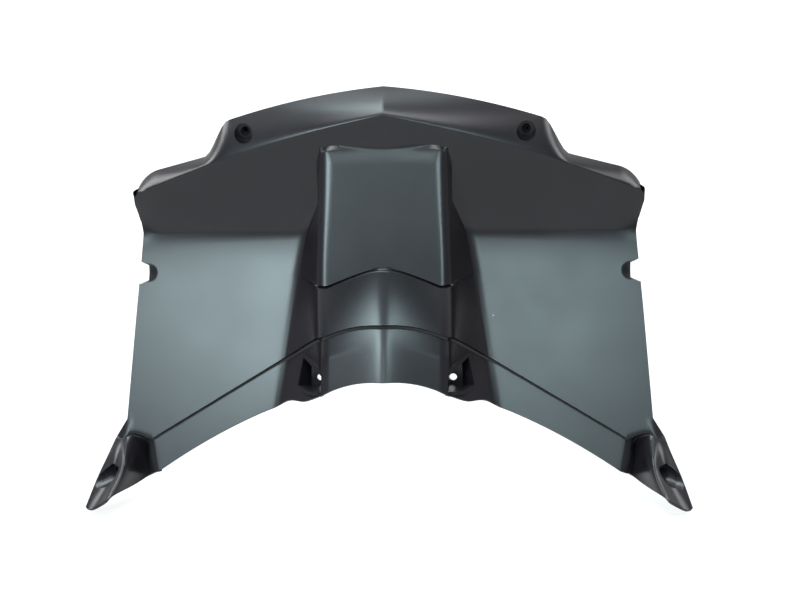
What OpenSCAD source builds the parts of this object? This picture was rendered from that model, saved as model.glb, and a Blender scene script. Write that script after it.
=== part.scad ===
// Inner panel of a scooter: one moulded skin with a top band, a hood, two wings, two side panels,
// a centre tunnel, a recessed lower flange and an ear at each lower corner.
// X runs across the panel, the front faces -Y and Z is up. The middle of the two upper screws is
// the origin, with y = 0 on their seats. Depths named "proud" or "front" count towards -Y.

/* [Moulding] */
// Thickness of the skin
wall = 2.6; // [2:0.1:3.2]
// Depth of the joggle along the step line
joggle = 2.5; // [1:0.1:4]

/* [Top band] */
// Height of the top edge at the centre
crown_h = 31; // [26:0.5:36]
// Fall of the top edge beside the centre, per millimetre
crown_fall = 0.09; // [0.05:0.01:0.14]
// Radius of the arch of the top edge
crown_r = 435; // [380:5:600]
// Front of the top edge at the centre
crown_front = 7; // [3:0.5:12]
// Distance that the top edge lies further back at the shoulder
crown_sweep = 7; // [3:0.5:10]
// Distance from the centre to the middle of the shoulder curve
shoulder_x = 117; // [114:0.5:120]
// Width of the shoulder curve
shoulder_w = 18; // [14:1:24]
// Height of the wing top where the shoulder meets it
wing_h = -15.4; // [-20:0.2:-10]
// Fall of the wing top, per millimetre
wing_fall = 0.3; // [0.2:0.01:0.36]
// Radius of the outer corner of the wing
wing_corner_r = 18; // [12:1:22]
// Distance that the wing top leans back from the shoulder to its end
wing_back = 12; // [6:0.5:18]

/* [Crease and hood] */
// Half width of the panel at the ends of the crease
wing_half = 175.5; // [168:0.5:182]
// Height of the crease at the centre
crease_h0 = 15.2; // [10:0.2:20]
// Fall of the crease beside the centre, per millimetre
crease_fall = 0.205; // [0.15:0.005:0.26]
// Radius of the droop of the crease
crease_r = 650; // [500:10:900]
// Front of the crease at the centre
crease_front = 30; // [26:0.5:36]
// Distance that the crease sweeps back at its ends
crease_sweep = 34; // [28:0.5:40]
// Height of the valley below the hood at the centre
valley_h0 = -67; // [-72:0.5:-62]
// Fall of the valley, per millimetre
valley_fall = 0.038; // [0:0.002:0.06]
// Depth of the rolled ends of the hood
roll_d = 7; // [3:0.5:10]
// Width of the rolled ends of the hood
roll_w = 20; // [12:1:26]

/* [Side panels] */
// Front of the panel plane at the origin
panel_front = -8.5; // [-12:0.5:-4]
// Lean of the panels, which come forward as they go down, in degrees
panel_lean = 20.3; // [16:0.1:24]
// Sweep of the panels, which go back as they go outward, in degrees
panel_sweep = 8.5; // [5:0.1:12]
// Half width at the valley
valley_half = 172; // [168:0.5:176]
// Half width at the lower corner of the panel
corner_half = 182.5; // [178:0.5:186]
// Height of the lower corner of the panel
corner_h = -197; // [-200:0.5:-192]

/* [Tunnel] */
// Half width of the flat front of the tunnel
face_half = 38; // [32:0.5:42]
// Radius of the long edges of the tunnel
edge_r = 6; // [3:0.5:8]
// Height of the top of the box above the valley
box_top_h = -9; // [-14:0.5:-4]
// Front of the box at its top
box_front = 27; // [25:0.5:30]
// Lean of the box front, in degrees
box_lean = 17; // [13:0.5:20]
// Height of the arc below the box at the centre
arc_h0 = -87.5; // [-92:0.5:-82]
// Radius of the arc below the box
arc_r = 68; // [60:1:90]
// Depth of the ledge along the arc
ledge = 2; // [1:0.1:3]
// Slope of the nose just below the arc
nose_slope = 0.25; // [0.15:0.01:0.35]
// Slope that the nose gains down to its foot
nose_gain = 0.26; // [0.1:0.01:0.4]
// Distance that the nose falls back beside its centre, at its foot
nose_crown = 5; // [2:0.5:8]
// Half width of the tunnel's foot at the valley
foot_valley = 55.6; // [52:0.5:60]
// Half width of the tunnel's foot at the step line
foot_step = 69.7; // [66:0.5:74]
// Half width of the tunnel's foot at the bottom edge
foot_bottom = 75; // [72:0.5:80]

/* [Step line and flange] */
// Height of the step line at the centre
step_h0 = -122; // [-126:0.5:-118]
// Radius of the step line over the tunnel
step_r = 83; // [70:1:110]
// Height of the step line at the tunnel's foot
step_foot_h = -151; // [-154:0.5:-148]
// Fall of the step line over the panels, per millimetre
step_fall = 0.6; // [0.56:0.01:0.62]
// Height of the bottom edge at the centre
bottom_h0 = -157; // [-160:0.5:-152]
// Radius of the bottom edge over the tunnel
bottom_r = 71; // [64:1:90]
// Height of the bottom edge at the tunnel's foot
bottom_foot_h = -182.6; // [-185:0.2:-180]
// Fall of the bottom edge over the panels, per millimetre
bottom_fall = 0.54; // [0.5:0.01:0.58]
// Half width of the flange at the step line
flange_half = 165; // [162:0.5:168]
// Half width of the flange at the bottom edge
flange_low_half = 161; // [158:0.5:164]

/* [Screw wells] */
// Distance from the centre to each upper screw
screw_x = 96.3; // [92:0.1:102]
// Radius of the wells that sink the screw heads
well_r = 6.5; // [5.5:0.1:7]
// Radius of the screw holes
hole_r = 3.2; // [2.6:0.1:3.6]
// Wall round a well
well_wall = 2; // [1.6:0.1:2.4]
// Depth of the lower wells
ear_well_d = 5; // [4:0.5:6]
// Distance from the centre to the mouth of each lower well
ear_x = 190.5; // [189:0.1:192]
// Height of the mouth of each lower well
ear_h = -228; // [-230:0.2:-226]
// Front of the mouth of each lower well
ear_front = 61; // [59:0.2:63]
// Turn of the lower wells towards the sides, in degrees
ear_turn = 52; // [46:1:58]
// Dip of the lower wells, in degrees
ear_dip = 11; // [6:1:16]

/* [Edge notches] */
// Height of the middle of each notch
notch_h = -99.4; // [-104:0.2:-94]
// Height of a notch at its inner end
notch_in = 10; // [7:0.5:12]
// Height of a notch at the edge
notch_out = 15.4; // [13:0.2:18]
// Depth of a notch
notch_d = 6; // [4:0.2:8]

// Radius of the shallow seat at the inner end of each notch
seat_r = 6.5; // [5:0.1:7.5]
// Depth of that seat
seat_d = 1.3; // [0.6:0.1:1.6]

/* [Pockets beside the nose] */
// Front of the floor of each pocket
pocket_front = 38; // [36:0.5:40]
// Distance from the centre to the inner wall of each pocket
pocket_x = 43; // [42.8:0.1:43.2]
// Wall round a pocket
pocket_wall = 2; // [1.6:0.1:2.4]
// Radius of the hole in the floor of each pocket
pocket_hole_r = 2.5; // [2:0.1:2.5]
// Distance from the centre to that hole
pocket_hole_x = 45.6; // [45.6:0.1:46]
// Height of that hole
pocket_hole_h = -165.6; // [-166:0.2:-164]

/* [Hidden] */
eps = 0.01;
// Reach of the cutting tools in front of the skin, and the size of the blocks that trim the bosses
reach = 40;
trim = 120;
// Share of the corner radius that lies inside the wing's end
wing_round_share = 0.86;
// Run over which the wing top leans back, and the swell of the wing's outer end under the crease
wing_run = 50;
wing_swell = 20;
// Fade of the hood's rolled ends towards the crease
roll_fade = 1.2;
// Swing of the bottom edge beside the tunnel
foot_wave = 2;
// Places of the lines between the named ones, as shares of the height between those
hood_high = 0.27;
hood_low = 0.7;
box_low = 0.62;
panel_high = 0.38;
panel_low = 0.93;
nose_low = 0.8;
// Height of the start of the side flare above the panel's lower corner
flare_drop = 8;
lean_t = tan(panel_lean);
sweep_t = tan(panel_sweep);
tunnel_half = face_half + edge_r;

function lerp(a, b, t) = a + (b - a) * t;
function smooth(t) = let (u = min(1, max(0, t))) u * u * (3 - 2 * u);
function unit(v) = v / norm(v);
function mean(v, i = 0, s = [0, 0, 0]) = i == len(v) ? s / len(v) : mean(v, i + 1, s + v[i]);

// Heights of the lines that part the surfaces, at the distance x from the centre
function wing_round(x) = let (d = max(0, x - (wing_half - wing_corner_r * wing_round_share)))
    wing_corner_r - sqrt(max(0, pow(wing_corner_r, 2) - d * d));
function top_h(x) =
    let (arch = crown_h - crown_fall * x - x * x / (2 * crown_r))
    let (wing = wing_h - wing_fall * (x - shoulder_x))
    lerp(arch, wing, smooth((x - shoulder_x) / shoulder_w + 0.5)) - wing_round(x);
function crease_h(x) = crease_h0 - crease_fall * x - x * x / (2 * crease_r);
function valley_h(x) = valley_h0 - valley_fall * x;
function arc_h(x) = arc_h0 - pow(min(x, face_half), 2) / (2 * arc_r);
function over_tunnel(x, h0, r, foot, foot_h) =
    let (edge_h = h0 - pow(tunnel_half, 2) / (2 * r))
    x < tunnel_half ? h0 - x * x / (2 * r) : lerp(edge_h, foot_h, (x - tunnel_half) / (foot - tunnel_half));
function step_h(x) = x < foot_step
    ? over_tunnel(x, step_h0, step_r, foot_step, step_foot_h)
    : step_foot_h - step_fall * (x - foot_step);
function bottom_wave(x) = foot_wave * sin(360 * (x - tunnel_half) / (foot_bottom - tunnel_half));
function bottom_h(x) = x < tunnel_half ? bottom_h0 - x * x / (2 * bottom_r)
    : x < foot_bottom ? over_tunnel(x, bottom_h0, bottom_r, foot_bottom, bottom_foot_h) - bottom_wave(x)
    : bottom_foot_h - bottom_fall * (x - foot_bottom);

// Fronts of the surfaces
function crown_f(x) = x < shoulder_x
    ? crown_front - crown_sweep * pow(x / shoulder_x, 2)
    : crown_front - crown_sweep - wing_back * min(1, (x - shoulder_x) / wing_run);
function crease_f(x) = crease_front - crease_sweep * pow(x / wing_half, 1.5);
function panel_f(x, h) = panel_front - sweep_t * x - lean_t * h;
function band_f(x, h) =
    let (t = min(1, (h - crease_h(x)) / (top_h(x) - crease_h(x))))
    lerp(crease_f(x), crown_f(x), (t + t * t) / 2);
function hood_f(x, h) =
    let (t = (h - valley_h(x)) / (crease_h(x) - valley_h(x)))
    let (r = max(0, (x - wing_half + roll_w) / roll_w))
    lerp(panel_f(x, valley_h(x)), crease_f(x), t) - roll_d * r * r * sqrt(max(0, t)) * (roll_fade - t);
function side_f(x, h) = h > crease_h(x) ? band_f(x, h) : h > valley_h(x) ? hood_f(x, h) : panel_f(x, h);
function box_f(h) = box_front + (box_top_h - h) * tan(box_lean);
function nose_f(x, h) =
    let (u = arc_h(x) - h)
    let (len = arc_h0 - bottom_h0)
    box_f(arc_h(x)) + nose_slope * u + nose_gain * u * u / (2 * len)
        - nose_crown * pow(x / face_half, 2) * u / len;
function edge_drop(x) = let (d = min(edge_r, max(0, x - face_half))) edge_r - sqrt(edge_r * edge_r - d * d);
function face_f(x, h) = (h > arc_h(x) ? box_f(h) : nose_f(min(x, face_half), h)) - edge_drop(x);
function front_f(x, h) = h > crease_h(x) ? side_f(x, h) : max(side_f(x, h), face_f(x, h));

// Lines across the panel: 0 top edge, 1 crease, 2 top of the box, 3 middle of the hood, 4 valley,
// 5 arc, 6 start of the side flare, 7 step line, 8 bottom edge. Each gives the half widths of the
// tunnel's foot, of the part inside the corner and of the whole panel.
line_foot = [tunnel_half + 2, tunnel_half + 2, tunnel_half + 2, tunnel_half + 2, foot_valley,
    lerp(foot_valley, foot_step, panel_high), lerp(foot_valley, foot_step, panel_low), foot_step, foot_bottom];
line_inner = [152, 152, 152, 151, 150, 153, 164, flange_half, flange_low_half];
line_half = [wing_half - 0.4, wing_half, wing_half + 0.6, wing_half - 1.6, valley_half,
    lerp(valley_half, corner_half, 0.45), corner_half];

// The corner beyond the flange, as [half width, height, distance in front of the panel plane]:
// the lip of the trough under the panel, the ledge below it, the trough's top, the middle of the
// ear and its foot.
// Each runs from the flange's rounded end through the trough and up to the ear's crest and outer edge.
corner_lip = [[167.5, -208.6, 0], [171, -207.4, 0], [176, -206.5, 0], [180, -206, 0], [184, -205.5, 0],
    [188, -208, -3], [191.8, -210.7, -7]];
corner_ledge = [[167.5, -208.9, -0.2], [171, -207.9, -0.6], [176, -207, -0.6], [180, -206.5, -0.6],
    [184, -206, -0.6], [188.1, -208.5, -4.4], [192, -211.2, -8.6]];
corner_back = [[166.8, -212, -4], [168.6, -213.5, -11], [172, -213.5, -12], [178, -212.5, -6],
    [183.5, -211, 4.5], [188.4, -213, -0.5], [192.9, -215, -4.5]];
corner_mid = [[165.3, -221, -4], [167.5, -224, -12], [170.5, -226.5, -15], [176.5, -226, 1],
    [183, -224, 20], [190.8, -227.5, 13], [199.4, -231, 4]];
corner_foot = [[163.5, -230.6, -5], [166, -235.5, -13], [170, -240, -16], [178.5, -242, 3],
    [189, -240, 27], [199, -246.5, 21], [207.3, -251, 15]];
corner_n = len(corner_lip);
corner_sections = [[0, corner_lip], [0.015, corner_ledge], [0.14, corner_back], [0.5, corner_mid], [1, corner_foot]];

// Columns as [zone, place in the zone]: 0 flat front, 1 rounded edge, 2 side wall, 3 panel, 4 corner
columns = concat(
    [for (s = [0:0.25:1]) [0, s]],
    [for (a = [30, 60, 84]) [1, a]],
    [for (s = [0.25, 0.5, 0.75, 0.93]) [2, s]],
    [for (s = [0.02, 0.15, 0.3, 0.45, 0.58, 0.63, 0.67, 0.71, 0.76, 0.88, 1]) [3, s]],
    [for (s = [0:corner_n - 1]) [4, s]]);
corner_share = [0.15, 0.3, 0.5, 0.7, 0.85, 0.95, 1];

// Rows as [line, share of the way to the next line, lift of the nose, depth of the joggle]
rows = concat(
    [for (t = [0:0.25:0.75]) [0, t, 0, 0]],
    [for (t = [0, 0.35, 0.8]) [1, t, 0, 0]],
    [for (t = [0, 0.35, 0.7]) [2, t, 0, 0]],
    [for (t = [0, 0.5]) [3, t, 0, 0]],
    [for (t = [0, 0.5]) [4, t, 0, 0]],
    [[5, -0.02, 0, 0]],
    [for (t = [0, 0.25, 0.5, 0.75]) [5, t, 1, 0]],
    [for (t = [0, 0.5]) [6, t, 1, 0]],
    [[7, 0, 1, 0]],
    [for (t = [0.015, 0.14, 0.3, 0.45, 0.6, 0.75, 0.9]) [7, t, 1, 1]],
    [[8, 0, 1, 1]]);

function column_x(k, c) =
    c[0] == 0 ? face_half * c[1]
    : c[0] == 1 ? face_half + edge_r * sin(c[1])
    : c[0] == 2 ? lerp(tunnel_half, line_foot[k], c[1])
    : c[0] == 3 ? lerp(line_foot[k], line_inner[k], c[1])
    : k < 7 ? lerp(line_inner[k], line_half[k], corner_share[c[1]])
    : k == 7 ? corner_lip[c[1]][0] : corner_foot[c[1]][0];
function line_h(k, c, x) =
    let (box = c[0] < 2)
    let (lip = c[0] == 4 ? corner_lip[c[1]][1] : step_h(x))
    k == 0 ? top_h(x)
    : k == 1 ? crease_h(x)
    : k == 2 ? (box ? box_top_h - edge_drop(x) : lerp(crease_h(x), valley_h(x), hood_high))
    : k == 3 ? (box ? lerp(box_top_h, valley_h(x), box_low) : lerp(crease_h(x), valley_h(x), hood_low))
    : k == 4 ? valley_h(x)
    : k == 5 ? (box ? arc_h(x) : lerp(valley_h(x), lip, panel_high))
    : k == 6 ? (box ? lerp(arc_h(x), lip, nose_low)
        : lerp(valley_h(x), c[0] == 4 ? corner_h - flare_drop : lip, panel_low))
    : k == 7 ? lip
    : c[0] == 4 ? corner_foot[c[1]][1] : bottom_h(x);

// A point of the skin's front before the ledge and the joggle, from its column and row
function plain_point(c, r) =
    let (k = r[0], t = r[1], k2 = min(8, k + 1))
    let (xa = column_x(k, c), xb = column_x(k2, c))
    let (bulge = k == 1 && c[0] == 4 ? wing_swell * t * pow(1 - t, 3) * corner_share[c[1]] : 0)
    let (x = lerp(xa, xb, t) + bulge)
    let (h = lerp(line_h(k, c, xa), line_h(k2, c, xb), t))
    let (foot = lerp(line_foot[k], line_foot[k2], t))
    let (f = c[0] < 2 ? front_f(x, h)
        : c[0] == 2 ? lerp(front_f(tunnel_half - eps, h), side_f(foot, h), c[1])
        : c[0] == 3 || k < 6 ? side_f(x, h)
        : panel_f(x, h) + lerp(0, corner_lip[c[1]][2], k == 6 ? t : 1))
    [x, -f, h];
function corner_at(i, t, k = 0) =
    let (a = corner_sections[k], b = corner_sections[k + 1])
    t > b[0] ? corner_at(i, t, k + 1) : lerp(a[1][i], b[1][i], (t - a[0]) / (b[0] - a[0]));
function corner_point(c, t) = let (p = corner_at(c[1], t)) [p[0], -panel_f(p[0], p[1]) - p[2], p[1]];
function base_point(c, r) = c[0] == 4 && r[0] >= 7
    ? corner_point(c, r[0] == 8 ? 1 : r[1])
    : plain_point(c, r);

// Share of the nose's ledge and of the joggle that each zone takes
function lift(c, r) = r[2] * ledge * (c[0] == 0 ? 1 : c[0] == 1 ? 1 - c[1] / 90 : 0);
function sink(c, r) = r[3] * joggle * (c[0] == 4 ? 0 : 1);

nc = len(columns);
nr = len(rows);
half_base = [for (c = columns) [for (r = rows) base_point(c, r)]];

// The whole width, from the left edge to the right one
function whole(g) = concat(
    [for (i = [nc - 1:-1:1]) [for (p = g[i]) [-p[0], p[1], p[2]]]],
    g);
base = whole(half_base);
nw = len(base);

function quad_normal(i, j) =
    let (a = base[i][j], b = base[i + 1][j], c = base[i + 1][j + 1], d = base[i][j + 1])
    unit(cross(c - a, b - d));
normals = [for (i = [0:nw - 2]) [for (j = [0:nr - 2]) quad_normal(i, j)]];
function near(i, j) = [for (u = [max(0, i - 1):min(nw - 2, i)]) for (v = [max(0, j - 1):min(nr - 2, j)])
    normals[u][v]];
function node_normal(i, j) =
    let (all = near(i, j))
    let (n = unit(mean(all)))
    let (spread = mean([for (m = all) [m * n, 0, 0]])[0])
    n / max(0.5, spread);
function index_of(i) = abs(i - nc + 1);
function skin_point(i, j, n) =
    let (c = columns[index_of(i)], r = rows[j])
    base[i][j] + unit(n) * (lift(c, r) - sink(c, r));

module skin() {
    out = [for (i = [0:nw - 1]) [for (j = [0:nr - 1]) node_normal(i, j)]];
    front = [for (i = [0:nw - 1]) for (j = [0:nr - 1]) skin_point(i, j, out[i][j])];
    back = [for (i = [0:nw - 1]) for (j = [0:nr - 1]) skin_point(i, j, out[i][j]) - out[i][j] * wall];
    n = nw * nr;
    function at(i, j) = i * nr + j;
    function two(a, b, c, d) = [[a, b, c], [a, c, d]];
    function cell(i, j, o) =
        let (a = at(i, j) + o, b = at(i + 1, j) + o, c = at(i + 1, j + 1) + o, d = at(i, j + 1) + o)
        i < nc - 1 ? two(a, b, c, d) : two(b, c, d, a);
    function flip(f) = [for (t = f) [t[2], t[1], t[0]]];
    grid = [for (i = [0:nw - 2]) for (j = [0:nr - 2]) each cell(i, j, 0)];
    under = [for (i = [0:nw - 2]) for (j = [0:nr - 2]) each flip(cell(i, j, n))];
    ends = [for (j = [0:nr - 2]) each concat(
        two(at(0, j), at(0, j + 1), at(0, j + 1) + n, at(0, j) + n),
        flip(two(at(nw - 1, j), at(nw - 1, j + 1), at(nw - 1, j + 1) + n, at(nw - 1, j) + n)))];
    rims = [for (i = [0:nw - 2]) each concat(
        flip(two(at(i, 0), at(i + 1, 0), at(i + 1, 0) + n, at(i, 0) + n)),
        two(at(i, nr - 1), at(i + 1, nr - 1), at(i + 1, nr - 1) + n, at(i, nr - 1) + n))];
    polyhedron(points = concat(front, back), faces = concat(grid, under, ends, rims), convexity = 8);
}

// Everything in front of a plane
module beyond(p, n) {
    translate(p) rotate([0, acos(n[2]), atan2(n[1], n[0])]) translate([-trim / 2, -trim / 2, 0]) cube(trim);
}

// Upper screw wells: a cup behind the band, with its bore
screw_f = band_f(screw_x, 0);
screw_lean = unit([
    band_f(screw_x - 1, 0) - band_f(screw_x + 1, 0), -2, band_f(screw_x, -1) - band_f(screw_x, 1)]);
module upper_cup() {
    difference() {
        translate([screw_x, wall, 0]) rotate([90, 0, 0]) cylinder(r = well_r + well_wall, h = reach, $fn = 64);
        beyond([screw_x, -screw_f, 0] - screw_lean * wall / 2, screw_lean);
    }
}
module upper_bore() {
    translate([screw_x, 0, 0]) rotate([90, 0, 0]) cylinder(r = well_r, h = reach, $fn = 64);
    translate([screw_x, wall + 1, 0]) rotate([90, 0, 0]) cylinder(r = hole_r, h = 2 * wall + 2, $fn = 48);
}

// Lower screw wells, turned to the sides: a boss inside the ear, with its bore
ear_mouth = [ear_x, -ear_front, ear_h];
function ear_face_point(i, t) = let (p = corner_at(i, t)) [p[0], -panel_f(p[0], p[1]) - p[2], p[1]];
ear_face_n = unit(cross(ear_face_point(5, 0.9) - ear_face_point(5, 0.3),
    ear_face_point(6, 0.5) - ear_face_point(4, 0.5)));
ear_wall_n = unit(cross(ear_face_point(4, 0.9) - ear_face_point(4, 0.3),
    ear_face_point(4, 0.5) - ear_face_point(3, 0.5)));
module ear_axis() {
    translate(ear_mouth) rotate([90 + ear_dip, 0, ear_turn]) children();
}
module ear_boss() {
    difference() {
        ear_axis() translate([0, 0, -ear_well_d - wall])
            cylinder(r = well_r + well_wall, h = ear_well_d + 2 * well_r, $fn = 64);
        beyond(ear_face_point(5, 0.5) - ear_face_n * wall / 2, ear_face_n);
        beyond(ear_face_point(4, 0.5) - ear_wall_n * wall / 2, ear_wall_n);
    }
}
module ear_bore() {
    ear_axis() translate([0, 0, -ear_well_d]) cylinder(r = well_r, h = reach, $fn = 64);
    ear_axis() translate([0, 0, -ear_well_d - wall - 1]) cylinder(r = hole_r, h = 2 * wall + 2, $fn = 48);
}

// Notch in the side edge, narrower towards its inner end, with a shallow round seat in the panel
notch_share = (valley_h(valley_half) - notch_h) / (valley_h(valley_half) - corner_h);
notch_x = lerp(valley_half, corner_half, notch_share) - notch_d;
panel_n = unit([sweep_t, -1, lean_t]);
module notch() {
    translate([notch_x, reach / 2, notch_h]) rotate([90, 0, 0]) linear_extrude(reach)
        polygon([[0, -notch_in / 2], [notch_d, -notch_out / 2], [2 * notch_d, -notch_out / 2],
            [2 * notch_d, notch_out / 2], [notch_d, notch_out / 2], [0, notch_in / 2]]);
    translate([notch_x, -panel_f(notch_x, notch_h), notch_h])
        rotate([0, acos(panel_n[2]), atan2(panel_n[1], panel_n[0])]) {
            translate([0, 0, -seat_d]) cylinder(r1 = seat_r / 2, r2 = seat_r, h = seat_d, $fn = 48);
            cylinder(r = seat_r, h = wall, $fn = 48);
        }
}

// Pocket in the side wall of the nose, as [distance from the centre, height] of the corners of its
// floor and of its mouth, which stands in front of the skin. The wall's plane trims its shell.
pocket_out = 2 * reach;
pocket_floor = [[51.6, -152.2], [pocket_x, -157.6], [pocket_x, -170], [52.2, -171.3]];
pocket_mouth = [[82.2, -133], [pocket_x, -157.6], [pocket_x, -166], [52.6, -167.7], [82.9, -157.4]];
nose_wall_point = [53.7, -55.1, -162.4];
nose_wall_n = unit([0.66, -0.69, 0.3]);
module pocket_solid(grow) {
    hull() {
        for (p = pocket_floor) translate([p[0], -pocket_front, p[1]]) cube(2 * grow + eps, center = true);
        for (p = pocket_mouth) translate([p[0], -pocket_out, p[1]]) cube(2 * grow + eps, center = true);
    }
}
module pocket_shell() {
    difference() {
        pocket_solid(pocket_wall);
        beyond(nose_wall_point - nose_wall_n * wall / 2, nose_wall_n);
    }
}
module pocket() {
    pocket_solid(0);
    translate([pocket_hole_x, pocket_wall + 1 - pocket_front, pocket_hole_h]) rotate([90, 0, 0])
        cylinder(r = pocket_hole_r, h = pocket_wall + 2, $fn = 48);
}

module both_sides() {
    children();
    mirror([1, 0, 0]) children();
}

module inner_panel() {
    color([0.12, 0.13, 0.14]) difference() {
        union() {
            skin();
            both_sides() upper_cup();
            both_sides() ear_boss();
            both_sides() pocket_shell();
        }
        both_sides() upper_bore();
        both_sides() ear_bore();
        both_sides() notch();
        both_sides() pocket();
    }
}

inner_panel();
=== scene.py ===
"""Looks of the scooter inner panel: one moulded skin in satin black plastic.

The skin is drawn finer than its solid. x is the half width, h the height and f the distance to
the front, all in mm. The skin is a grid. Its columns lie in five zones from the centre outwards:
0 face, 1 rounded edge, 2 tunnel wall, 3 panel and 4 side. Its rows lie between nine lines from the
top edge to the bottom edge: 0 top, 1 crease, 2 box top, 3 between, 4 valley, 5 arc, 6 between,
7 step and 8 bottom.
"""

import math

import bmesh
import bpy
import numpy as np
from mathutils import Matrix, Vector


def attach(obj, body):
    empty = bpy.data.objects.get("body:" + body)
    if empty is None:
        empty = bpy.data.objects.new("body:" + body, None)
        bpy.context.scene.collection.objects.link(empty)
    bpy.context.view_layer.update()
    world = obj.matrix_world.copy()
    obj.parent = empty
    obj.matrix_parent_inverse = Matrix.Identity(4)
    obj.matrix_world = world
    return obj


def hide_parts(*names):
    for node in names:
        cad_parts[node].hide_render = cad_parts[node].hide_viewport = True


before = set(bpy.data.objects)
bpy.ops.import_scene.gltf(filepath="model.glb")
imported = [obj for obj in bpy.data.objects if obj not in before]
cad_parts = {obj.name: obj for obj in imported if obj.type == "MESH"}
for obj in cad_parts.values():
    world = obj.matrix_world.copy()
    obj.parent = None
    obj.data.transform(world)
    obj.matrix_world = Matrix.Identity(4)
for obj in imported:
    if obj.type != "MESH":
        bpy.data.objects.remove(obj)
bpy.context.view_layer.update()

# Sizes of the moulding, near those in part.scad
WALL, JOGGLE, LEDGE = 2.6, 2.5, 2.6
LEAN = math.tan(math.radians(20.3))
SWEEP = math.tan(math.radians(8.5))
BOX_LEAN = math.tan(math.radians(17))
WING_HALF, VALLEY_HALF, CORNER_HALF, CORNER_H = 175.5, 172.0, 182.5, -197.0
FACE_HALF, EDGE_R = 38.0, 6.0
TUNNEL_HALF = FACE_HALF + EDGE_R
FOOT_VALLEY, FOOT_STEP, FOOT_BOTTOM = 55.6, 69.7, 75.0
ARCH_H, ARCH_FALL, ARCH_BEND = 31.0, 0.09, 870.0
SHOULDER_X, SHOULDER_W, WING_H, WING_FALL, WING_R = 117.0, 18.0, -15.4, 0.3, 18.0
CREASE_H, CREASE_FALL, CREASE_BEND = 15.2, 0.205, 1300.0
VALLEY_H, VALLEY_FALL = -67.0, 0.038
BOX_TOP_H, ARC_H, ARC_FALL, ARC_ROUND = -9.0, -85.7, 0.42, 12.0
STEP_H, STEP_R, STEP_FOOT_H, STEP_FALL = -122.0, 83.0, -151.0, 0.6
BOTTOM_H, BOTTOM_R, BOTTOM_FOOT_H, BOTTOM_FALL, BOTTOM_BEND = -157.0, 71.0, -182.5, 0.404, 614.0
CROWN_F, WING_F, CREASE_F, CREASE_BACK, PANEL_F, BOX_F = 7.0, -12.0, 30.0, 34.0, -8.5, 27.0
VALLEY_FILLET, FILLET_UP, FILLET_DOWN = 2.7, 13.0, 18.0
NOSE_SLOPE, NOSE_GROWTH, NOSE_RUN, RIDGE_FALL, RIDGE_R = 0.25, 0.26, 69.5, 0.36, 2.5
TOP_FLAT, SHELF_SLOPE, TUNNEL_FLARE, TIP_BULGE, RIM_BULGE = 34.0, 2.5, 2.6, 2.2, 0.35
SCREW_X, WELL_R, HOLE_R, WELL_WALL = 96.3, 6.5, 3.2, 2.0
SLEEVE, SLEEVE_R, SLEEVE_HOLE = 24.0, 5.2, 1.7
SEAT_R, SEAT_D = 6.5, 1.3
POCKET_FRONT, POCKET_X, POCKET_WALL = 38.0, 43.0, 2.0
POCKET_HOLE_R, POCKET_HOLE_X, POCKET_HOLE_H = 2.5, 45.6, -165.6
EAR_WELL_D, EAR_TURN, EAR_DIP = 5.0, 52.0, 11.0
EAR_MOUTH = Vector((190.5, -61.0, -228.0))
NOTCH_H, NOTCH_IN, NOTCH_OUT, NOTCH_D = -99.4, 10.0, 15.4, 6.0


def lerp(a, b, t):
    return a + (b - a) * t


def smooth(t):
    u = min(1.0, max(0.0, t))
    return u * u * (3 - 2 * u)


def top_h(x):
    d = min(WING_R, max(0.0, x - (WING_HALF - WING_R * 0.86)))
    arch = ARCH_H - ARCH_FALL * x - x * x / ARCH_BEND
    wing = WING_H - WING_FALL * (x - SHOULDER_X)
    blend = smooth((x - SHOULDER_X) / SHOULDER_W + 0.5)
    return lerp(arch, wing, blend) - (WING_R - math.sqrt(WING_R**2 - d * d))


def crease_h(x):
    return CREASE_H - CREASE_FALL * x - x * x / CREASE_BEND


def valley_h(x):
    return VALLEY_H - VALLEY_FALL * x


def roof(x, w):
    """Distance from the centre along a roof with a rounded ridge."""
    return math.sqrt(x * x + w * w) - w


def arc_h(x):
    return ARC_H - ARC_FALL * roof(min(x, FACE_HALF), ARC_ROUND)


def over_tunnel(x, h0, r, foot, foot_h):
    """A line that arches over the face and runs straight down the tunnel wall to its foot."""
    if x < TUNNEL_HALF:
        return h0 - x * x / (2 * r)
    side = (x - TUNNEL_HALF) / (foot - TUNNEL_HALF)
    return lerp(h0 - TUNNEL_HALF**2 / (2 * r), foot_h, side)


def step_h(x):
    if x < FOOT_STEP:
        return over_tunnel(x, STEP_H, STEP_R, FOOT_STEP, STEP_FOOT_H)
    return STEP_FOOT_H - STEP_FALL * (x - FOOT_STEP)


def swell(x, middle, width, height):
    return height * math.exp(-(((x - middle) / width) ** 2))


def bottom_h(x):
    d = x - FOOT_BOTTOM
    if d >= 0:
        return BOTTOM_FOOT_H - BOTTOM_FALL * d - d**2 / BOTTOM_BEND
    line = over_tunnel(x, BOTTOM_H, BOTTOM_R, FOOT_BOTTOM, BOTTOM_FOOT_H)
    if x < TUNNEL_HALF:
        return line
    wave = 2 * math.sin(math.tau * (x - TUNNEL_HALF) / (FOOT_BOTTOM - TUNNEL_HALF))
    return line - wave + swell(x, 51, 5, 1.4) + swell(x, 71, 4, 1.0)


def crown_f(x):
    if x < SHOULDER_X:
        return CROWN_F - CROWN_F * (x / SHOULDER_X) ** 2
    return WING_F * min(1.0, (x - SHOULDER_X) / 50)


def crease_f(x):
    return CREASE_F - CREASE_BACK * (x / WING_HALF) ** 1.5


def panel_f(x, h):
    return PANEL_F - SWEEP * x - LEAN * h


def band_f(x, h):
    t = min(1.0, (h - crease_h(x)) / (top_h(x) - crease_h(x)))
    return lerp(crease_f(x), crown_f(x), (t + t * t) / 2)


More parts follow.
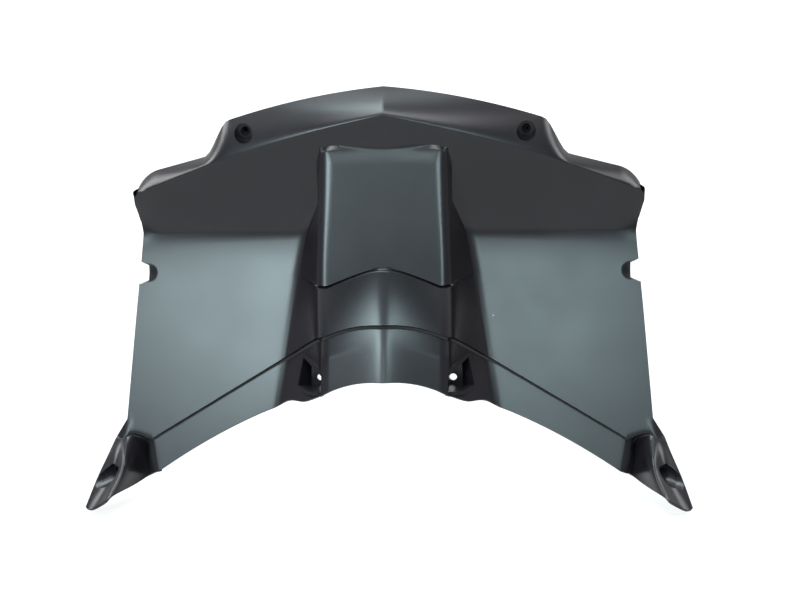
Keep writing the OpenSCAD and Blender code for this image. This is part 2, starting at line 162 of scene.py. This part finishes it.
def hood_f(x, h):
    """The hood is ruled from valley to crease and turns back over the last 20 mm of the wing."""
    t = (h - valley_h(x)) / (crease_h(x) - valley_h(x))
    r = max(0.0, (x - WING_HALF + 20) / 20)
    turn_back = 7 * r * r * math.sqrt(max(0.0, t)) * (1.2 - t)
    return lerp(panel_f(x, valley_h(x)), crease_f(x), t) - turn_back


def side_f(x, h):
    if h > crease_h(x):
        return band_f(x, h)
    above = h - valley_h(x)
    fillet = VALLEY_FILLET * math.exp(-abs(above) / (FILLET_UP if above > 0 else FILLET_DOWN))
    return (hood_f(x, h) if above > 0 else panel_f(x, h)) + fillet


def box_f(h):
    return BOX_F + (BOX_TOP_H - h) * BOX_LEAN


def nose_f(x, h):
    """The nose swings out below the arc, with a ridge down its middle."""
    u = arc_h(x) - h
    swing = NOSE_SLOPE * u + NOSE_GROWTH * u * u / (2 * NOSE_RUN)
    return box_f(arc_h(x)) + swing - RIDGE_FALL * roof(x, RIDGE_R) * min(1.0, 0.3 + u / NOSE_RUN)


def edge_drop(x, h):
    """How far the rounded long edge lies behind the face. Its flat part widens downwards."""
    flat = lerp(TOP_FLAT, FACE_HALF, smooth((BOX_TOP_H - h) / 80))
    u = min(1.0, max(0.0, (x - flat) / (TUNNEL_HALF - flat)))
    return EDGE_R * (1 - math.sqrt(1 - u * u))


def face_f(x, h):
    shelf = SHELF_SLOPE * max(0.0, h - BOX_TOP_H)
    face = box_f(h) - shelf if h > arc_h(x) else nose_f(min(x, FACE_HALF), h)
    return face - edge_drop(x, h)


def front_f(x, h):
    return side_f(x, h) if h > crease_h(x) else max(side_f(x, h), face_f(x, h))


# Where each of the nine lines meets the tunnel's foot, the inner end of the side zone and the edge
LINE_FOOT = [TUNNEL_HALF + 2] * 4 + [
    FOOT_VALLEY,
    lerp(FOOT_VALLEY, FOOT_STEP, 0.38),
    lerp(FOOT_VALLEY, FOOT_STEP, 0.93),
    FOOT_STEP,
    FOOT_BOTTOM,
]
LINE_INNER = [152, 152, 152, 151, 150, 153, 164, 165, 161]
LINE_HALF = [WING_HALF - 0.4, WING_HALF, WING_HALF + 0.6, WING_HALF - 1.6, VALLEY_HALF,
             lerp(VALLEY_HALF, CORNER_HALF, 0.45), CORNER_HALF]
SHARE = [0.15, 0.3, 0.5, 0.7, 0.85, 0.95, 1]

# The corner beyond the flange: [half width, height, proud of the panel plane] from the flange's
# rounded end through the trough to the ear's crest and outer edge, at five places down the corner
SECTIONS = [0, 0.03, 0.14, 0.5, 1]
STATIONS = [0, 1, 2, 3, 4, 5, 5.7, 6]
LAST = len(SECTIONS) - 1
CORNER = np.array([
    [[167.5, -208.6, 0], [169.8, -207.8, 0], [173.5, -206.6, 0],
     [179.6, -205.6, 0], [183.6, -208, 0.5], [187, -208.6, 0],
     [189.4, -208.6, -1], [190.6, -208.6, -1.8]],
    [[167.2, -209.2, -2.8], [169.6, -208.4, -3.6], [173, -207.3, -4],
     [179.2, -206.4, -2], [183.6, -208.8, 0.6], [187, -209.4, 0.8],
     [189.5, -209.4, 0.5], [191, -209.4, 0.2]],
    [[166, -212, -2.8], [168, -213.4, -5], [169, -214, -13],
     [175, -213.8, -4], [180.8, -214, 13], [187, -214.4, 7],
     [192, -215, 6.4], [193.4, -215, 6]],
    [[164.2, -221, -2.8], [167.4, -223.6, -5], [168.4, -224.2, -14],
     [174, -226, -2], [181, -224.5, 21], [190.6, -227.8, 12.5],
     [198.4, -229.4, 13.4], [200.4, -229.6, 13]],
    [[162.2, -230.4, -2.8], [165.6, -232.4, -5], [166.8, -234.8, -13],
     [175.5, -237.6, 2], [187, -237, 29], [197.5, -244.4, 24.5],
     [205.4, -249.4, 22.5], [207.3, -247.4, 21.5]],
])


def hermite(knots, values, t):
    """A smooth curve through the values at the knots."""
    n = len(knots)
    k = min(n - 2, max(0, int(np.searchsorted(knots, t, side="right")) - 1))
    w = knots[k + 1] - knots[k]
    u = (t - knots[k]) / w

    def slope(i):
        a, b = max(0, i - 1), min(n - 1, i + 1)
        return (values[b] - values[a]) / (knots[b] - knots[a])

    return (
        (2 * u**3 - 3 * u**2 + 1) * values[k]
        + (u**3 - 2 * u**2 + u) * w * slope(k)
        + (3 * u**2 - 2 * u**3) * values[k + 1]
        + (u**3 - u**2) * w * slope(k + 1)
    )


def corner_row(section, s):
    return hermite(STATIONS, CORNER[section], s)


def share_at(s):
    """How far station s lies between the inner end of the side zone and the edge."""
    return float(np.interp(s, range(7), SHARE))


def column_x(k, zone, s):
    """The half width where a zone's column s crosses line k."""
    if zone == 0:
        return FACE_HALF * s
    if zone == 1:
        return FACE_HALF + EDGE_R * math.sin(math.radians(90 * s))
    if zone == 2:
        return lerp(TUNNEL_HALF, LINE_FOOT[k], s)
    if zone == 3:
        return lerp(LINE_FOOT[k], LINE_INNER[k], s)
    if k < 7:
        return lerp(LINE_INNER[k], LINE_HALF[k], share_at(s))
    return corner_row(0 if k == 7 else LAST, s)[0]


def line_h(k, zone, s, x):
    """The height of line k in a zone, at half width x."""
    box = zone < 2
    lip = corner_row(0, s)[1] if zone == 4 else step_h(x)
    if k == 0:
        return top_h(x)
    if k == 1:
        return crease_h(x)
    if k == 2:
        return BOX_TOP_H - edge_drop(x, BOX_TOP_H) if box else lerp(crease_h(x), valley_h(x), 0.27)
    if k == 3:
        return lerp(BOX_TOP_H, valley_h(x), 0.62) if box else lerp(crease_h(x), valley_h(x), 0.7)
    if k == 4:
        return valley_h(x)
    if k == 5:
        return arc_h(x) if box else lerp(valley_h(x), lip, 0.38)
    if k == 6:
        if box:
            return lerp(arc_h(x), lip, 0.8)
        return lerp(valley_h(x), CORNER_H - 8 if zone == 4 else lip, 0.93)
    if k == 7:
        return lip
    return corner_row(LAST, s)[1] if zone == 4 else bottom_h(x)


def base_point(zone, s, k, t):
    """A point of the skin's front before the ledge and the joggle, from its column and row."""
    if zone == 4 and k >= 7:
        down = [corner_row(i, s) for i in range(LAST + 1)]
        x, h, proud = hermite(SECTIONS, down, 1 if k == 8 else t)
        return np.array([x, -panel_f(x, h) - proud, h])
    k2 = min(8, k + 1)
    xa, xb = column_x(k, zone, s), column_x(k2, zone, s)
    x = lerp(xa, xb, t)
    h = lerp(line_h(k, zone, s, xa), line_h(k2, zone, s, xb), t)
    if zone == 4 and k < 3:
        fade = t**4 if k == 0 else 1 - smooth((crease_h(x) - h) / 28)
        x += share_at(s) * TIP_BULGE * fade
    foot = lerp(LINE_FOOT[k], LINE_FOOT[k2], t)
    if zone < 2:
        f = front_f(x, h)
    elif zone == 2:
        f = lerp(front_f(TUNNEL_HALF - 0.01, h), side_f(foot, h), s)
    elif zone == 3 or k < 6:
        f = side_f(x, h)
    else:
        f = panel_f(x, h) + corner_row(0, s)[2] * t
    if zone in (1, 2):
        x += TUNNEL_FLARE * (s if zone == 1 else 1 - s) * smooth((BOX_TOP_H - h) / 110)
    return np.array([x, -f, h])


def spread(marks, n):
    """The marks, n steps between and the marks mirrored, from 0 to just below 1."""
    middle = np.linspace(marks[-1], 1 - marks[-1], n + 2)[1:-1]
    return [*marks, *middle, *(1 - m for m in marks[:0:-1])]


COLUMNS = (
    [(0, s) for s in np.linspace(0, 1, 21)]
    + [(1, s) for s in np.linspace(0, 1, 11)[1:]]
    + [(2, s) for s in spread([0, 0.04, 0.09, 0.15], 7)[1:]]
    + [(3, s) for s in spread([0, 0.006, 0.015, 0.03, 0.05], 30)[1:]]
    + [(3, 1.0)]
    + [(4, s) for s in np.linspace(0, 6, 37)]
)
ROWS = (
    [(0, t) for t in spread([0, 0.02, 0.05, 0.1], 8)]
    + [(1, t) for t in spread([0, 0.015, 0.035, 0.07], 9)]
    + [(2, t) for t in spread([0, 0.03, 0.07], 8)]
    + [(3, t) for t in spread([0, 0.04, 0.1], 7)]
    + [(4, t) for t in spread([0, 0.03, 0.08], 9)]
    + [(5, t) for t in (0, 0.012, 0.024, 0.036, 0.048, 0.06, 0.08, *np.linspace(0.12, 0.95, 10))]
    + [(6, t) for t in spread([0, 0.06], 9)]
    + [(7, t) for t in (0, 0.006, 0.012, 0.018, 0.024, 0.04, 0.056, 0.062, 0.066, 0.07, 0.09, 0.12)]
    + [(7, t) for t in (*np.linspace(0.17, 0.94, 18), 0.97, 0.99)]
    + [(8, 0.0)]
)


def lift(zone, s, k, t):
    """The ledge under the arc, higher at its ends."""
    side = 1 + 0.9 * s if zone == 0 else 1.9 * max(0.0, 1 - s) if zone == 1 else 0
    down = 1.0 if k > 5 else 0.0 if k < 5 else smooth(t / 0.06)
    return LEDGE * side * down


def sink(zone, k, t):
    """The joggle of the flange below the step line, with a groove along the line."""
    if zone == 4 or k < 7:
        return 0.0
    if k > 7:
        return JOGGLE
    return float(np.interp(t, [0, 0.006, 0.018, 0.062, 0.07], [0, 0.35, 4.2, 4.2, JOGGLE]))


def grid_of(columns, rows):
    """The front's points for all columns, mirrored to the left."""
    half = np.array([[base_point(z, s, k, t) for k, t in rows] for z, s in columns])
    flip = half[:0:-1].copy()
    flip[:, :, 0] *= -1
    return np.concatenate([flip, half])


def normals_of(grid, mitre=False):
    a, b, c, d = grid[:-1, :-1], grid[1:, :-1], grid[1:, 1:], grid[:-1, 1:]
    q = np.cross(c - a, b - d)
    q /= np.maximum(1e-9, np.linalg.norm(q, axis=2, keepdims=True))
    pads = [((i, 1 - i), (j, 1 - j), (0, 0)) for i in (0, 1) for j in (0, 1)]
    near = np.stack([np.pad(q, pad, mode="edge") for pad in pads])
    n = near.mean(0)
    n /= np.linalg.norm(n, axis=2, keepdims=True)
    if mitre:
        n = n / np.maximum(0.5, (near * n).sum(3).mean(0))[..., None]
    return n


def level(columns):
    """Each column's own coordinate, rising by one per zone."""
    return np.array([z + s / (6 if z == 4 else 1) for z, s in columns], float)


def resample(new, old, grid):
    """The grid's first axis read at new coordinates."""
    flat = grid.reshape(len(old), -1)
    return np.stack([np.interp(new, old, c) for c in flat.T], 1).reshape(len(new), *grid.shape[1:])


def relax(grid, keep, axis, times):
    """Rounds the grid along one axis where keep is below 1, without sliding its points."""
    g = np.moveaxis(grid, axis, 0).copy()
    w = np.moveaxis(1 - keep, axis, 0)[1:-1, :, None] * 0.5
    for _ in range(times):
        a = np.linalg.norm(g[1:-1] - g[:-2], axis=2, keepdims=True) + 1e-9
        b = np.linalg.norm(g[2:] - g[1:-1], axis=2, keepdims=True) + 1e-9
        g[1:-1] += w * ((g[:-2] * b + g[2:] * a) / (a + b) - g[1:-1])
    return np.moveaxis(g, 0, axis)


def skin_mesh():
    """The whole skin as one closed mesh: front grid, back grid and a rounded rim between them."""
    nc, nr = len(COLUMNS), len(ROWS)
    front = grid_of(COLUMNS, ROWS)
    nw = len(front)
    whole = [COLUMNS[abs(i - nc + 1)] for i in range(nw)]
    out = normals_of(front)
    offset = np.array([[lift(z, s, k, t) - sink(z, k, t) for k, t in ROWS] for z, s in whole])
    front = front + out * offset[..., None]
    lines = np.array([k + t for k, t in ROWS])
    sides = level(whole)

    # Round the creases between rows, then those between columns
    keep = np.ones((nw, nr))
    for line, wide in ((1, 0.06), (2, 0.12), (4, 0.08)):
        keep[:, np.abs(lines - line) < wide] = 0
    keep[np.ix_(sides > 4.6, np.abs(lines - 1) < 0.3)] = 0
    keep[np.ix_(sides >= 4, lines > 6.4)] = 0.5
    front = relax(front, keep, 1, 14)
    keep = np.ones((nw, nr))
    keep[np.abs(sides - 3) < 0.04, :] = 0
    keep[np.abs(sides - 2) < 0.16, :] = 0
    keep[np.ix_(sides >= 4, lines > 6)] = 0.8
    keep[np.ix_(np.abs(sides - 4) < 0.12, lines > 7)] = 0
    front = relax(front, keep, 0, 16)

    # The back is offset from a coarser grid, whose points stand clear of the creases
    coarse_c = [
        (z, s) for i, (z, s) in enumerate(COLUMNS)
        if (z < 2 and (i % 3 == 0 or (z, s) == (1, 1.0))) or (z == 2 and 0.2 < s < 0.9)
        or (z == 3 and s > 0.03) or (z == 4 and abs(s * 2 - round(s * 2)) < 0.01)
    ]
    coarse_r = [(k, t) for k in range(8) for t in (0, 0.25, 0.5, 0.75)] + [(8, 0.0)]
    base = grid_of(coarse_c, coarse_r)
    m = normals_of(base, mitre=True)
    cw = [coarse_c[abs(i - len(coarse_c) + 1)] for i in range(len(base))]
    off = np.array([[lift(z, s, k, min(1, t * 4)) - (JOGGLE if z < 4 and k + t > 7 else 0)
                     for k, t in coarse_r] for z, s in cw])
    unit = m / np.linalg.norm(m, axis=2, keepdims=True)
    base = base + unit * off[..., None] - m * WALL
    sign_w = np.where(np.arange(nw) < nc - 1, -1, 1)
    sign_c = np.where(np.arange(len(base)) < len(coarse_c) - 1, -1, 1)
    u_f, u_c = sides * sign_w, level(cw) * sign_c
    v_c = np.array([k + t for k, t in coarse_r])
    back = resample(u_f, u_c, resample(lines, v_c, base.swapaxes(0, 1)).swapaxes(0, 1))
    half = np.full((nw, nr), 0.5)
    back = relax(relax(back, half, 1, 4), half, 0, 4)
    upper = lines < 4
    back[:, upper, 0] = np.clip(back[:, upper, 0], front[0, upper, 0], front[-1, upper, 0])

    verts = [*front.reshape(-1, 3), *back.reshape(-1, 3)]
    n = nw * nr

    def at(i, j):
        return i * nr + j

    faces = []
    for i in range(nw - 1):
        for j in range(nr - 1):
            q = (at(i, j), at(i, j + 1), at(i + 1, j + 1), at(i + 1, j))
            faces.append(q)
            faces.append(tuple(v + n for v in reversed(q)))
    loop = ([(0, j) for j in range(nr)] + [(i, nr - 1) for i in range(1, nw)]
            + [(nw - 1, j) for j in range(nr - 2, -1, -1)] + [(i, 0) for i in range(nw - 2, 0, -1)])
    rings = [[at(i, j) for i, j in loop]]
    for a in (0.12, 0.35, 0.65, 0.88):
        ring = []
        for i, j in loop:
            i2 = 1 if i == 0 else nw - 2 if i == nw - 1 else i
            j2 = 1 if j == 0 else nr - 2 if j == nr - 1 else j
            f, b = front[i, j], back[i, j]
            o = f - front[i2, j2]
            o -= out[i, j] * (o @ out[i, j])
            o /= np.linalg.norm(o) + 1e-9
            ring.append(len(verts))
            verts.append(lerp(f, b, a) + o * RIM_BULGE * math.sqrt(math.sin(math.pi * a)))
        rings.append(ring)
    rings.append([at(i, j) + n for i, j in loop])
    for r, q in zip(rings, rings[1:]):
        for a in range(len(loop)):
            b = (a + 1) % len(loop)
            faces.append((r[a], q[a], q[b], r[b]))
    return mesh_of("inner_panel_skin", verts, faces)


def mesh_of(name, verts, faces):
    """An object in the scene with a mesh whose normals agree."""
    me = bpy.data.meshes.new(name)
    me.from_pydata([tuple(v) for v in verts], [], faces)
    bm = bmesh.new()
    bm.from_mesh(me)
    bmesh.ops.recalc_face_normals(bm, faces=bm.faces)
    bm.to_mesh(me)
    bm.free()
    ob = bpy.data.objects.new(name, me)
    bpy.context.scene.collection.objects.link(ob)
    return ob


def circle(r, z, n=96):
    turns = [math.tau * i / n for i in range(n)]
    return [(r * math.cos(a), r * math.sin(a), z) for a in turns]


def turned(profile, place, n=96):
    """A closed solid turned about Z from [radius, height] points that start and end on the axis."""
    verts = [(0, 0, profile[0][1]), (0, 0, profile[-1][1])]
    for r, z in profile[1:-1]:
        verts += circle(r, z, n)
    faces = []
    for i in range(n):
        faces.append((0, 2 + (i + 1) % n, 2 + i))
        last = 2 + (len(profile) - 3) * n
        faces.append((1, last + i, last + (i + 1) % n))
    for k in range(len(profile) - 3):
        a, b = 2 + k * n, 2 + (k + 1) * n
        for i in range(n):
            faces.append((a + i, a + (i + 1) % n, b + (i + 1) % n, b + i))
    return mesh_of("tool", [place @ Vector(v) for v in verts], faces)


def cut(target, tool, how="DIFFERENCE"):
    """Takes the tool from the target, or joins it, and removes the tool."""
    mod = target.modifiers.new("cut", "BOOLEAN")
    mod.object, mod.operation, mod.solver = tool, how, "MANIFOLD"
    dg = bpy.context.evaluated_depsgraph_get()
    me = bpy.data.meshes.new_from_object(target.evaluated_get(dg))
    target.modifiers.clear()
    target.data = me
    bpy.data.objects.remove(tool)


def hull_of(points, planes=()):
    """The convex solid round the points, or the part of it behind some planes."""
    for n in range(len(planes) + 1):
        bm = bmesh.new()
        for p in points:
            bm.verts.new(p)
        bmesh.ops.convex_hull(bm, input=bm.verts)
        if n < len(planes):
            co, no = planes[n]
            every = [*bm.verts, *bm.edges, *bm.faces]
            bmesh.ops.bisect_plane(bm, geom=every, plane_co=co, plane_no=no, clear_outer=True)
        bmesh.ops.delete(bm, geom=[v for v in bm.verts if not v.link_faces], context="VERTS")
        points = [v.co.copy() for v in bm.verts]
        bm.verts.index_update()
        faces = [tuple(v.index for v in f.verts) for f in bm.faces]
        bm.free()
    return mesh_of("tool", points, faces)


def corner_point(section_t, s):
    return Vector(base_point(4, s, 7, section_t))


def both(place):
    """The same place on the right side and mirrored on the left."""
    return place, Matrix.Diagonal((-1, 1, 1, 1)) @ place


panel = skin_mesh()

def rod(r, low, high):
    """The profile of a plain rod."""
    return [(0, low), (r, low), (r, high), (0, high)]


def turn_about(axis, degrees):
    return Matrix.Rotation(math.radians(degrees), 4, axis)


# Upper wells along Y, each with a long sleeve behind it
OUT_R = WELL_R + WELL_WALL
upper = Matrix.Translation((SCREW_X, 0, 0)) @ turn_about("X", 90)
sleeve = [(0, -SLEEVE), (SLEEVE_R - 0.4, -SLEEVE), (SLEEVE_R, 0.4 - SLEEVE),
          (SLEEVE_R + 0.6, -WALL - 0.8), (OUT_R - 0.5, -WALL), (OUT_R, 0.5 - WALL),
          (OUT_R, 3.4), (0, 3.4)]
hole = [(0, -SLEEVE - 1), (SLEEVE_HOLE, -SLEEVE - 1), (SLEEVE_HOLE, -WALL - 0.4),
        (HOLE_R, -WALL - 0.4), (HOLE_R, 8), (0, 8)]
for place in both(upper):
    cut(panel, turned(sleeve, place), "UNION")
    cut(panel, turned(rod(WELL_R, 0, 40), place))
    cut(panel, turned(hole, place, 64))

# Lower wells in the ears, which turn to the sides. Their bosses end under the ear's faces
lower = Matrix.Translation(EAR_MOUTH) @ turn_about("Z", EAR_TURN) @ turn_about("X", 90 + EAR_DIP)


def ear_normal(s, inner, outer):
    down = corner_point(0.9, s) - corner_point(0.3, s)
    return down.cross(corner_point(0.5, outer) - corner_point(0.5, inner)).normalized()


bottom = -EAR_WELL_D - WALL
sleeve = [(0, bottom - 4), (SLEEVE_R, bottom - 4),
          (SLEEVE_R + 0.6, bottom + 0.4), (0, bottom + 0.4)]
for sign, place in zip((1, -1), both(lower)):
    flip = Vector((sign, 1, 1))
    planes = [((corner_point(0.5, s) - n * 0.9) * flip, n * flip)
              for s, n in ((5, ear_normal(5, 4, 6)), (4, ear_normal(4, 3, 4)))]
    boss = [place @ Vector(v) for v in circle(OUT_R, bottom) + circle(OUT_R, 13)]
    cut(panel, hull_of(boss, planes), "UNION")
    cut(panel, turned(sleeve, place), "UNION")
    cut(panel, turned(rod(WELL_R, -EAR_WELL_D, 20), place))
    cut(panel, turned(rod(HOLE_R, bottom - 5, 4), place, 64))

# Notches in the side edges, with a shallow dish at the inner end of each
notch_x = lerp(VALLEY_HALF, CORNER_HALF, 0.21) - NOTCH_D
corners = [(0, -NOTCH_IN / 2), (NOTCH_D, -NOTCH_OUT / 2), (2 * NOTCH_D, -NOTCH_OUT / 2),
           (2 * NOTCH_D, NOTCH_OUT / 2), (NOTCH_D, NOTCH_OUT / 2), (0, NOTCH_IN / 2)]
m = len(corners)
sides = [(i, (i + 1) % m, m + (i + 1) % m, m + i) for i in range(m)]
for sign in (1, -1):
    pts = [(sign * (notch_x + x), y, NOTCH_H + z) for y in (-20, 20) for x, z in corners]
    cut(panel, mesh_of("tool", pts, [tuple(range(m)), tuple(range(m, 2 * m)), *sides]))
seat = (Matrix.Translation((notch_x, -panel_f(notch_x, NOTCH_H), NOTCH_H))
        @ Vector((SWEEP, -1, LEAN)).to_track_quat("Z", "Y").to_matrix().to_4x4())
rim_r, above = SEAT_R * 1.05, 0.06
dish = [(rim_r * r, above - (SEAT_D + above) * (1 - smooth(r))) for r in np.linspace(0, 1, 14)]
for place in both(seat):
    cut(panel, turned([*dish, (rim_r, 3), (0, 3)], place))

# Pockets in the side walls of the nose, each with a hole in its floor
POCKET_RINGS = (
    (POCKET_FRONT, [(51.6, -152.2), (POCKET_X, -157.6), (POCKET_X, -170), (52.2, -171.3)]),
    (80, [(82.2, -133), (POCKET_X, -157.6), (POCKET_X, -166), (52.6, -167.7), (82.9, -157.4)]),
)
for sign in (1, -1):
    wall_n = Vector((0.66 * sign, -0.69, 0.3)).normalized()
    wall_p = Vector((53.7 * sign, -55.1, -162.4)) - wall_n * WALL / 2
    for grow, how in ((POCKET_WALL, "UNION"), (0.005, "DIFFERENCE")):
        both_ways = (-grow, grow)
        pts = [(sign * x + a, -f + b, h + c) for f, ring in POCKET_RINGS for x, h in ring
               for a in both_ways for b in both_ways for c in both_ways]
        cut(panel, hull_of(pts, [(wall_p, wall_n)] if grow > 1 else []), how)
for place in both(Matrix.Translation((POCKET_HOLE_X, 0, POCKET_HOLE_H)) @ turn_about("X", 90)):
    cut(panel, turned(rod(POCKET_HOLE_R, 30, 40), place, 48))

panel.data.transform(Matrix.Scale(0.001, 4))
panel.data.shade_smooth()
panel.data.set_sharp_from_angle(angle=math.radians(38))


def maths(tree, operation, a, b=None):
    """A maths node in the tree, fed by numbers or sockets."""
    node = tree.nodes.new("ShaderNodeMath")
    node.operation = operation
    for i, value in enumerate((a, b)):
        if isinstance(value, (int, float)):
            node.inputs[i].default_value = value
        elif value is not None:
            tree.links.new(value, node.inputs[i])
    return node.outputs[0]


def plastic():
    """Satin black moulded plastic: fine grain, mottled gloss and a few specks of dust."""
    mat = bpy.data.materials.new("black_plastic")
    mat.use_nodes = True
    nt = mat.node_tree
    nodes, links = nt.nodes, nt.links
    bsdf = nodes["Principled BSDF"]
    bsdf.inputs["Specular IOR Level"].default_value = 0.27
    tex = nodes.new("ShaderNodeTexCoord")

    # The bores of the upper screws are matt inside
    place = nodes.new("ShaderNodeSeparateXYZ")
    links.new(tex.outputs["Object"], place.inputs[0])
    aside = maths(nt, "SUBTRACT", maths(nt, "ABSOLUTE", place.outputs["X"]), SCREW_X / 1000)
    squares = maths(nt, "POWER", aside, 2), maths(nt, "POWER", place.outputs["Z"], 2)
    away = maths(nt, "SQRT", maths(nt, "ADD", *squares))
    matt = maths(nt, "MULTIPLY", maths(nt, "LESS_THAN", away, (HOLE_R + 0.15) / 1000), 0.65)

    def noise(scale, detail):
        n = nodes.new("ShaderNodeTexNoise")
        n.inputs["Scale"].default_value = scale
        n.inputs["Detail"].default_value = detail
        links.new(tex.outputs["Object"], n.inputs["Vector"])
        return n

    def ramp(source, stops):
        r = nodes.new("ShaderNodeValToRGB")
        for i, (pos, colour) in enumerate(stops):
            e = r.color_ramp.elements[i] if i < 2 else r.color_ramp.elements.new(pos)
            e.position, e.color = pos, (*colour, 1)
        links.new(source, r.inputs["Fac"])
        return r

    grain = noise(2400, 2)
    mottle = noise(28, 4)
    gloss = nodes.new("ShaderNodeMapRange")
    gloss.inputs["To Min"].default_value = 0.26
    gloss.inputs["To Max"].default_value = 0.33
    links.new(mottle.outputs["Fac"], gloss.inputs["Value"])
    links.new(maths(nt, "ADD", gloss.outputs["Result"], matt), bsdf.inputs["Roughness"])
    blacks = [(0.3, (0.0062, 0.0052, 0.0064)), (0.75, (0.0085, 0.0072, 0.0088))]
    base = ramp(mottle.outputs["Fac"], blacks)
    cells = nodes.new("ShaderNodeTexVoronoi")
    cells.inputs["Scale"].default_value = 95
    cells.inputs["Randomness"].default_value = 1
    links.new(tex.outputs["Object"], cells.inputs["Vector"])
    dot = ramp(cells.outputs["Distance"], [(0.035, (1, 1, 1)), (0.06, (0, 0, 0))])
    split = nodes.new("ShaderNodeSeparateColor")
    links.new(cells.outputs["Color"], split.inputs["Color"])
    rare = ramp(split.outputs["Red"], [(0.94, (0, 0, 0)), (0.96, (1, 1, 1))])
    dust = maths(nt, "MULTIPLY", dot.outputs["Color"], rare.outputs["Color"])
    mix = nodes.new("ShaderNodeMix")
    mix.data_type = "RGBA"
    links.new(dust, mix.inputs[0])
    links.new(base.outputs["Color"], mix.inputs[6])
    mix.inputs[7].default_value = (0.30, 0.31, 0.30, 1)
    links.new(mix.outputs[2], bsdf.inputs["Base Color"])
    bump = nodes.new("ShaderNodeBump")
    bump.inputs["Strength"].default_value = 0.12
    bump.inputs["Distance"].default_value = 0.0001
    links.new(grain.outputs["Fac"], bump.inputs["Height"])
    links.new(bump.outputs["Normal"], bsdf.inputs["Normal"])
    return mat


panel.data.materials.clear()
panel.data.materials.append(plastic())
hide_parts("inner_panel")
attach(panel, "root")

# Floor with a curved backdrop
FLOOR_Z = -0.2527
BEND_Y, BEND_R = 1.2, 0.8
bend = np.radians(np.linspace(6, 90, 15))
rows = [(-4, FLOOR_Z), (BEND_Y, FLOOR_Z)]
rows += [(BEND_Y + BEND_R * math.sin(a), FLOOR_Z + BEND_R * (1 - math.cos(a))) for a in bend]
rows += [(BEND_Y + BEND_R, 4.0)]
pts = [(x, y, z) for x in (-4, 4) for y, z in rows]
m = len(rows)
floor = mesh_of("floor", pts, [(i, i + 1, m + i + 1, m + i) for i in range(m - 1)])
floor.data.shade_smooth()
white = bpy.data.materials.new("pale_floor")
white.use_nodes = True
tree = white.node_tree
nodes, links = tree.nodes, tree.links
matt = nodes["Principled BSDF"]
matt.inputs["Base Color"].default_value = (0.25, 0.25, 0.25, 1)
matt.inputs["Roughness"].default_value = 0.9
matt.inputs["Specular IOR Level"].default_value = 0.05

# The floor glows for the camera and in reflections, a little less near the panel
rays = nodes.new("ShaderNodeLightPath")
seen = rays.outputs["Is Camera Ray"]
for kind in ("Is Glossy Ray", "Is Transmission Ray"):
    seen = maths(tree, "MAXIMUM", seen, rays.outputs[kind])
spot = nodes.new("ShaderNodeTexCoord")
reach = nodes.new("ShaderNodeVectorMath")
reach.operation = "LENGTH"
links.new(spot.outputs["Object"], reach.inputs[0])
level_of = nodes.new("ShaderNodeMapRange")
for name, value in (("From Min", 0.35), ("From Max", 1.0), ("To Min", 0.72), ("To Max", 1.0)):
    level_of.inputs[name].default_value = value
links.new(reach.outputs["Value"], level_of.inputs["Value"])
matt.inputs["Emission Color"].default_value = (1, 1, 1, 1)
glow = maths(tree, "MULTIPLY", seen, level_of.outputs["Result"])
links.new(glow, matt.inputs["Emission Strength"])
floor.data.materials.append(white)

world = bpy.data.worlds.new("studio")
bpy.context.scene.world = world
world.use_nodes = True
sky = world.node_tree.nodes["Background"]
sky.inputs["Color"].default_value = (0.95, 0.95, 1.0, 1)
sky.inputs["Strength"].default_value = 0.2


def lamp(name, azimuth, elevation, distance, width, height, power, colour):
    """A soft box that looks at the panel. Azimuth 0 is in front and 90 at the right."""
    a, e = math.radians(azimuth), math.radians(elevation)
    middle = Vector((0, -0.02, -0.1))
    back = Vector((math.sin(a) * math.cos(e), -math.cos(a) * math.cos(e), math.sin(e)))
    data = bpy.data.lights.new(name, "AREA")
    data.shape, data.size, data.size_y = "RECTANGLE", width, height
    data.energy, data.color = power, colour
    ob = bpy.data.objects.new(name, data)
    bpy.context.scene.collection.objects.link(ob)
    ob.location = middle + back * distance
    ob.rotation_mode = "QUATERNION"
    ob.rotation_quaternion = back.to_track_quat("Z", "Y")


lamp("key", -27, 24, 1.7, 0.46, 0.3, 24, (0.74, 0.95, 1.0))
lamp("front", -2, 34, 2.0, 0.22, 0.3, 6, (0.74, 0.97, 1.0))
lamp("fill", 20, 24, 2.0, 0.36, 0.3, 16, (0.72, 0.96, 1.0))
lamp("top", 0, 68, 1.6, 1.5, 0.45, 26, (0.97, 0.98, 1.0))
lamp("ceiling", 0, 106, 1.6, 1.2, 0.5, 8, (0.88, 0.98, 1.0))
lamp("ceiling_left", -70, 78, 1.6, 0.7, 0.6, 24, (0.8, 0.97, 1.0))
for side, power in ((-1, 17), (1, 13)):
    lamp("side", side * 97, 34, 1.6, 0.7, 0.6, power, (0.97, 1.0, 1.0))

# Camera at the photograph's viewing angle
E, YAW, ROLL = math.radians(15), math.radians(3.313), math.radians(-0.2855)
right = Vector((math.cos(YAW), math.sin(YAW) * math.cos(E), -math.sin(YAW) * math.sin(E)))
up = Vector((0, math.sin(E), math.cos(E)))
toward = Vector((math.sin(YAW), -math.cos(YAW) * math.cos(E), math.cos(YAW) * math.sin(E)))
cos_roll, sin_roll = math.cos(ROLL), math.sin(ROLL)
right, up = right * cos_roll + up * sin_roll, up * cos_roll - right * sin_roll
cam = bpy.data.objects.new("camera", bpy.data.cameras.new("camera"))
bpy.context.scene.collection.objects.link(cam)
cam.data.sensor_width = 36
cam.data.lens = 83.57
spot = Vector((0, -0.003, -0.12)) + right * 0.007957 + toward * 1.3
turn = Matrix((right, up, toward)).transposed()
cam.matrix_world = Matrix.Translation(spot) @ turn.to_4x4()
bpy.context.scene.camera = cam
bpy.context.scene.view_settings.view_transform = "Standard"
